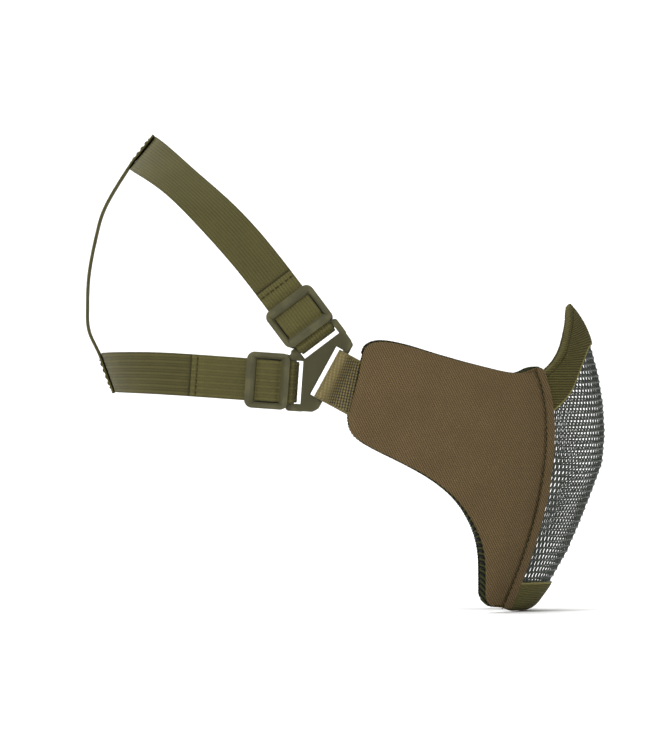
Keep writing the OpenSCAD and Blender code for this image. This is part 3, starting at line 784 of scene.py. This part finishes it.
def tape(name, node, rim, over_nose):
    """Knitted tape with a painted highlight on the fold at its free edge. Over the nose its folded
    rim is stitched, with painted shade in the stitch groove.
    """
    free = [c for c in sharp_chains(node) if len(c) > 25]
    free.sort(key=lambda c: sum(p.z for p in c) / len(c), reverse=not over_nose)
    mesh = refine(node, 3, 0.25)
    co, nrm = vertex_array(mesh), normal_array(mesh)
    d, a = distance_to(co, rim)
    to_free = np.min([distance_to(co, c)[0] for c in free[:2]], axis=0)
    # the fold stands up a little, and a highlight is painted on it
    fold = np.exp(-((to_free - 0.4 * MM) / (0.75 * MM)) ** 4)
    # the free edge lies down on the mesh
    lie = np.exp(-(to_free / (1.6 * MM)) ** 2)
    if over_nose:
        half_tape, stitch = 1.6 * MM, 1.5 * MM
        below = np.sqrt(np.maximum(d * d - half_tape ** 2, 0))
        beat = np.cos(2 * math.pi * np.abs(a - length_of(rim) / 2) / stitch)
        groove = np.exp(-((below - 0.2 * MM) / (0.24 * MM)) ** 2) * (0.75 + 0.25 * beat)
        # the ribs run level from the rim to the free edge, and climb forwards near the peak
        climb_from, climb_over = 0.116, 0.022
        climb = 0.75 * np.clip((co[:, 2] - climb_from) / climb_over, 0, 1) ** 1.3
        rib_height, material = 0.08, KNIT
    else:
        groove, climb, rib_height, material = np.zeros(len(co)), -0.15, 0.03, CHIN_KNIT
    level = (co[:, 2] - climb * (co[:, 0] - 0.03)) / MM
    rib = np.cos(2 * math.pi * level / KNIT_PITCH)
    move = (0.14 * soft_noise(co, 0.11, 2.2) + rib_height * rib
            - 0.32 * groove - 0.3 * lie + 0.1 * fold)
    move[co[:, 2] < 0.4 * MM] = 0
    co = co + nrm * move[:, None] * MM
    if not over_nose:
        # its ends are sewn up under the cheeks
        end_x, end_run, lift, low = -4 * MM, 7 * MM, 3.2 * MM, 7 * MM
        end = np.clip((end_x - co[:, 0]) / end_run, 0, 1)
        co[:, 2] += lift * end ** 1.5 * np.clip(1 - co[:, 2] / low, 0, 1)
    set_vertices(mesh, co)
    # third coordinate: painted highlight on the fold, less painted shade in the groove
    write_cloth(mesh, np.c_[d / MM, level, fold - groove])
    add_object(name, mesh, material, "mask", (node,))


# ---------------------------------------------------------------- overlocked edge

def thread_tube(points, radius, size, store):
    """Adds a tube along points to store = (points, faces, cloth)."""
    all_points, faces, cloth = store[:3]
    p = np.array(points)
    t = unit(np.gradient(p, axis=0))
    ref = np.array((0.31, 0.83, 0.46))
    a = unit(np.cross(t, ref))
    b = np.cross(t, a)
    base = len(all_points)
    run = np.r_[0, np.cumsum(np.linalg.norm(np.diff(p, axis=0), axis=1))]
    for i in range(len(p)):
        for j in range(size):
            q = 2 * math.pi * j / size
            all_points.append(p[i] + radius * (a[i] * math.cos(q) + b[i] * math.sin(q)))
            cloth.append((j, run[i] / MM, store[3]))
    faces += [tuple(i + base for i in f) for f in closed_ring_faces(len(p), size)]


def edge_paths(side):
    """The outer and inner lines of the cheek's raw edge, as pairs: along the top, along the jaw.

    The jaw's pair goes on round the chin's corner."""
    pairs = []
    for high in (True, False):
        pair = []
        for node, outermost in ((side + "_cheek_cover", True), (side + "_cheek_lining", False)):
            line = long_edge(node, high, outermost)
            if not high:
                line = rounded(line + bottom_edge(node, line[-1])[1:], 2.0 * MM)
            pair.append(line)
        pairs.append(pair)
    return pairs


# Trim threads, in millimetres: how far they stand off the edge, how far their ends are above the
# cloth, how far they wrap over its faces, their spacing, how far each one slants, and their radius.
TOP_TRIM = (0.45, -0.1, 1.5, 1.35, 2.4, 0.42)
JAW_TRIM = (0.15, -0.2, 0.8, 1.6, 3.6, 0.56)


def overlock(side):
    """Two tones of thread wrapped over the cheek's raw edge, round a dark cord."""
    store = [[], [], [], 0.0]
    node = side + "_edge_trim"
    seam_x, ring, turns = 7.5 * MM, 10, 12
    for (outer, inner), trim in zip(edge_paths(side), (TOP_TRIM, JAW_TRIM)):
        top = trim is TOP_TRIM
        reach, raised, over, pitch, slant, thick = trim
        if top:
            # the part of the upper line that runs down the seam carries no trim
            cut = next(k for k, p in enumerate(outer) if p.x > seam_x)
            outer, inner = outer[:cut + 1], inner[:cut + 1]
        count = int(length_of(outer) / (0.35 * MM))
        o, s = resample(outer, count=count)
        i, _ = resample(inner, count=count)
        mid = (o + i) / 2
        n = (o - i) / 2
        half = np.linalg.norm(n, axis=1)
        if top:
            half = half * np.clip(0.35 + s / (5 * MM), 0, 1)
        n = unit(n)
        t = unit(np.gradient(mid, axis=0))
        w = unit(np.cross(t, n))
        halfway = count // 2
        cheek_middle = np.array((-0.03, mid[halfway][1], 0.085))
        if np.dot(w[halfway], mid[halfway] - cheek_middle) < 0:
            w = -w
        # a dark cord underneath closes the edge
        base = len(store[0])
        for k in range(count + 1):
            for j in range(ring):
                a = math.pi * (j / (ring - 1) - 0.5)
                h = half[k] + (raised - 0.25) * MM
                bulge = (reach - 0.35) * MM
                store[0].append(mid[k] + n[k] * h * math.sin(a) + w[k] * bulge * math.cos(a))
                store[2].append((j, s[k] / MM, 0.0))
        store[1].extend(tuple(q + base for q in f) for f in closed_ring_faces(count + 1, ring))
        # slanted wraps of thread over it
        wraps = int(s[-1] / MM / pitch)
        for k in range(wraps):
            centre = (k + 0.5 + random.uniform(-0.08, 0.08)) * pitch
            line = []
            for j in range(turns + 1):
                a = math.radians(-118 + 236 * j / turns)
                at = centre + slant * (j / turns - 0.5)
                q = min(max(at * MM / s[-1] * count, 0), count)
                q0 = int(q)
                f = q - q0
                q1 = min(q0 + 1, count)
                m = mid[q0] * (1 - f) + mid[q1] * f
                h = (half[q0] + raised * MM) * max(-1, min(1, 1.08 * math.sin(a)))
                deep = (over if abs(math.degrees(a)) > 90 else reach) * MM
                line.append(m + n[q0] * h + w[q0] * deep * math.cos(a))
            store[3] = float(k % 2)
            thread_tube(line, thick * MM, 6, store)
    mesh = mesh_from(node + "_threads", store[0], store[1], store[2])
    add_object(node + "_threads", mesh, TRIM_THREAD, "mask", (node,))


# ---------------------------------------------------------------- steel mesh

def steel_mesh():
    """A lattice of wavy rows and short struts over the CAD sheet."""
    tree = bvh("wire_mesh")
    low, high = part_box("wire_mesh")
    axis_x, away, reach = -0.035, 0.2, 0.06
    row_pitch, col_pitch = 2.9 * MM, 2.7 * MM
    sheet_half = 0.6 * MM
    row_half, strut_half = (0.3 * MM, 0.47 * MM), (0.27 * MM, 0.5 * MM)
    # the sheet is never pressed quite square, so the two sides' holes do not line up
    row_tilt, turned = 0.027, 0.022

    def skin(phi, z):
        d = Vector((math.cos(phi), math.sin(phi), 0))
        start = Vector((axis_x, 0, z)) + d * away
        start.z += row_tilt * reach * math.sin(phi)
        hit, normal, _, _ = tree.ray_cast(start, -d)
        if hit is None:
            return None
        if normal.dot(d) < 0:
            normal = -normal
        return hit, normal

    def row_points(z):
        """Points on the sheet at a height, every half hole to both sides of the middle."""
        step = col_pitch / 2
        found = {}
        for direction in (1, -1):
            phi, travelled, last, k = turned, 0.0, None, 0
            dphi = math.radians(0.25) * direction
            while abs(phi) < math.radians(115):
                got = skin(phi, z)
                if got is None:
                    if last is not None:
                        break
                    phi += dphi
                    continue
                p, n = got
                if last is not None:
                    travelled += (p - last).length
                    if travelled >= step:
                        travelled -= step
                        k += direction
                        found[k] = (p, n)
                else:
                    if abs(phi - turned) > 0.02:
                        break
                    found[0] = (p, n)
                last = p
                phi += dphi
        return found

    points, faces = [], []
    rows = []
    z = low.z + 0.8 * MM
    while z < high.z:
        rows.append(row_points(z))
        z += row_pitch

    def tube(path, normals, radii):
        r_n, r_t = radii
        base, size = len(points), 6
        p = np.array([list(v) for v in path])
        nn = unit(np.array([list(v) for v in normals]))
        t = unit(np.gradient(p, axis=0))
        side = unit(np.cross(nn, t))
        for i in range(len(p)):
            for j in range(size):
                a = 2 * math.pi * (j + 0.5) / size
                points.append(p[i] + nn[i] * r_n * math.sin(a) + side[i] * r_t * math.cos(a))
        faces.extend(tuple(i + base for i in f) for f in closed_ring_faces(len(p), size))

    for j, row in enumerate(rows):
        if len(row) < 4:
            continue
        path, normals = [], []
        for k in sorted(row):
            p, n = row[k]
            # a strand bends up to meet each strut above it and down to meet each one below
            wave = 0.26 * MM * (1 if (k + j) % 2 == 0 else -1)
            path.append(p - n * (sheet_half - 0.2 * MM) + Vector((0, 0, wave)))
            normals.append(n)
        tube(path, normals, row_half)
    for j in range(len(rows) - 1):
        a, b = rows[j], rows[j + 1]
        for k in set(a) & set(b):
            if (k + j) % 2 == 0:
                (p, n), (q, m) = a[k], b[k]
                mid = (p - n * sheet_half + q - m * sheet_half) * 0.5 - n * 0.15 * MM
                tube([p - n * sheet_half, mid, q - m * sheet_half], [n, n, m], strut_half)
    mesh = mesh_from("mouthpiece_steel_mesh", points, faces)
    add_object("mouthpiece_steel_mesh", mesh, STEEL, "mask", ("wire_mesh",))


# ---------------------------------------------------------------- hardware

def hardware():
    """The CAD's own buckles and sliders, with softened edges."""
    for side in SIDES:
        for part in ("splitter_buckle", "upper_slider", "lower_slider"):
            obj = NODES[f"{side}_{part}"]
            obj.data.materials.clear()
            obj.data.materials.append(MOULDED)
            bevel = obj.modifiers.new("moulded_edges", "BEVEL")
            bevel.width = 0.28 * MM
            bevel.segments = 2
            bevel.limit_method = "ANGLE"
            bevel.angle_limit = math.radians(24)
            bevel.use_clamp_overlap = True
            obj.data.polygons.foreach_set("use_smooth", [True] * len(obj.data.polygons))
            crisp = obj.modifiers.new("flat_faces", "WEIGHTED_NORMAL")
            crisp.weight = 100


def slider_frame(side, level):
    """Middle, strap direction, outward and across directions of a slider."""
    joint = next(j for j in frame["joints"] if j["name"] == f"{side}_{level}_slide")
    d = np.array(joint["axis"], float)
    sign = -1 if side == "right" else 1
    n = np.array((0, sign, 0), float)
    n = unit(n - d * np.dot(d, n))
    w = np.cross(n, d)
    node = f"{side}_{level}_slider"
    co = vertex_array(NODES[node].data)
    c = np.array([(co @ a).max() / 2 + (co @ a).min() / 2 for a in (d, n, w)])
    top = (co @ n).max()
    return d * c[0] + n * c[1] + w * c[2], d, n, w, top


def humps():
    """Where a strap rides over a slider's middle bar, it bulges into the window."""
    half, width, thick = 6.15 * MM, 10.32 * MM, 1.1 * MM
    bulge, below_top, roll, shadow = 2.05 * MM, 2.9 * MM, 0.5 * MM, 0.45 * MM
    lanes, rows = ELASTIC_LANES, 30
    for side in SIDES:
        for level in ("upper", "lower"):
            c, d, n, w, top = slider_frame(side, level)
            base = c - n * np.dot(c, n) + n * (top - below_top)
            paired = STRAP_ENDS[level + "_strap"][1]
            points, cloth = [], []
            for r in range(rows + 1):
                t = -1 + 2 * r / rows
                rise = (1 - abs(t) ** 3.2) * bulge
                # painted shadow: near black at the ends, where the strap dives under the end bars
                lit = min(1.0, max(0.0, (0.88 - abs(t)) / 0.08))
                for up in (1, -1):
                    for k in (range(lanes + 1) if up > 0 else range(lanes, -1, -1)):
                        x = -width + 2 * width * k / lanes
                        rib = rib_at(x / MM, paired)
                        edge = max(0.0, (abs(x) - width + roll) / roll)
                        h = rise + (0.17 * rib * MM if up > 0 else -thick)
                        h -= 0.25 * MM * edge * edge * up
                        points.append(base + d * half * t + w * x + n * h)
                        # and painted shadow along the window's sides
                        inside = lit * min(1.0, max(0.0, (width - shadow - abs(x)) / (0.3 * MM)))
                        shade = (0.3 + 0.9 * rib) * inside - 0.6 * (1 - inside)
                        cloth.append((x / MM, t * half / MM, shade))
            mesh = mesh_from("hump", points, closed_ring_faces(rows + 1, 2 * (lanes + 1)), cloth)
            slider = f"{side}_{level}_slider"
            add_object(f"{side}_{level}_strap_over_bar", mesh, ELASTIC, slider, ())


# ---------------------------------------------------------------- build

steel_mesh()
chains = sorted((c for c in sharp_chains("wire_mesh") if len(c) > 25),
                key=lambda c: sum(p.z for p in c) / len(c))
tape("nose_knit_tape", "nose_binding", middle_line(chains[-2:]), True)
tape("chin_knit_tape", "chin_binding", middle_line(chains[:2]), False)
for side in SIDES:
    cheek(side)
    overlock(side)
    stitches(side + "_front_topstitch", side + "_front_stitching", "mask",
             outward_from((-0.08, 0, 0.07)), 0.24, sink=0.4, stretch=1.3)
straps = build_straps()
stitches("hem_stitches", "hem_stitching", "harness", lambda c: np.array((0, c[1], 0)),
         0.2, sink=0.5, stretch=1.45, pick=1.0)
stitches("junction_stitches", "junction_stitching", "strap_rear",
         outward_from(HEAD_CENTRE), 0.3, pick=1.0)
hardware()
humps()

# The straps' and tabs' placements are baked into their meshes.
back_low, back_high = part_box("back_strap")
for node, start_x, end_x in (("upper_strap", -0.135, back_high.x - 12 * MM),
                             ("lower_strap", -0.158, back_low.x + 18 * MM)):
    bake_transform(straps[node])
for side in SIDES:
    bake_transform(straps[side + "_anchor_webbing"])

# ---------------------------------------------------------------- stage, light, camera

def stage():
    """A pale floor that curves up into a backdrop."""
    mesh = bpy.data.meshes.new("backdrop")
    front_y, depth, width, height, bend, steps = -3.0, 3.2, 6.0, 3.5, 0.8, 16
    profile = [(front_y, 0.0)]
    for k in range(steps + 1):
        a = math.radians(90 * k / steps)
        profile.append((depth - bend + bend * math.sin(a), bend - bend * math.cos(a)))
    profile.append((depth, height))
    points = [(x, y, z) for y, z in profile for x in (-width, width)]
    faces = [(2 * k, 2 * k + 1, 2 * k + 3, 2 * k + 2) for k in range(len(profile) - 1)]
    mesh.from_pydata(points, [], faces)
    s = Shader("pale_floor")
    tint = s.noise(s.position(1.0), 3.0, 2)
    pale = s.mix(s.smooth(tint, 0.3, 0.7), (0.93, 0.93, 0.93, 1), (0.95, 0.95, 0.95, 1))
    mat = s.finish(pale, 0.9, specular=0.1)
    # seen from behind, the backdrop is clear
    tree = s.tree
    output = next(n for n in tree.nodes if n.type == "OUTPUT_MATERIAL")
    front = output.inputs["Surface"].links[0].from_socket
    geo = tree.nodes.new("ShaderNodeNewGeometry")
    clear = tree.nodes.new("ShaderNodeBsdfTransparent")
    sides = tree.nodes.new("ShaderNodeMixShader")
    tree.links.new(geo.outputs["Backfacing"], sides.inputs[0])
    tree.links.new(front, sides.inputs[1])
    tree.links.new(clear.outputs[0], sides.inputs[2])
    tree.links.new(sides.outputs[0], output.inputs["Surface"])
    obj = add_object("backdrop", mesh, mat, None)
    obj.location.z = -0.0002


def light(name, at, target, size, power):
    data = bpy.data.lights.new(name, "AREA")
    data.shape = "RECTANGLE"
    data.size, data.size_y = size
    data.energy = power
    obj = bpy.data.objects.new(name, data)
    obj.location = at
    obj.rotation_euler = (Vector(target) - Vector(at)).to_track_quat("-Z", "Y").to_euler()
    bpy.context.scene.collection.objects.link(obj)


stage()
middle = (-0.09, 0, 0.11)
light("key", (-1.2, -1.9, 1.6), middle, (0.8, 0.8), 52)
light("front_fill", (1.6, -1.3, 0.5), middle, (0.8, 1.2), 11)
light("top", (-0.1, 0.2, 1.9), middle, (1.2, 1.0), 14)
light("back_left", (-1.2, 1.0, 0.9), middle, (1.0, 1.0), 12)
light("backdrop_light", (0.0, 1.3, 2.4), (0, 3.0, 0.4), (3.0, 1.0), 60)

scene = bpy.context.scene
world = bpy.data.worlds.new("studio")
scene.world = world
world.use_nodes = True
tree = world.node_tree
sky = tree.nodes["Background"]
sky.inputs["Color"].default_value = (1, 1, 1, 1)
# the sky is soft light for the object, but white to the camera
path = tree.nodes.new("ShaderNodeLightPath")
seen = tree.nodes.new("ShaderNodeMapRange")
seen.inputs["To Min"].default_value = 0.33
seen.inputs["To Max"].default_value = 1.0
tree.links.new(path.outputs["Is Camera Ray"], seen.inputs["Value"])
tree.links.new(seen.outputs[0], sky.inputs["Strength"])
scene.view_settings.view_transform = "Standard"

distance, span, yaw, sensor = 4.5, 0.312, math.radians(0.3), 36
aim_x, aim_z = -0.0936, 0.1128
cam = bpy.data.cameras.new("photo_view")
cam.sensor_fit = "HORIZONTAL"
cam.sensor_width = sensor
cam.lens = sensor * distance / span
cam.clip_end = 20
camera = bpy.data.objects.new("photo_view", cam)
camera.location = (aim_x + distance * math.sin(yaw), -distance * math.cos(yaw), aim_z)
camera.rotation_euler = (math.radians(90), 0, yaw)
scene.collection.objects.link(camera)
scene.camera = camera
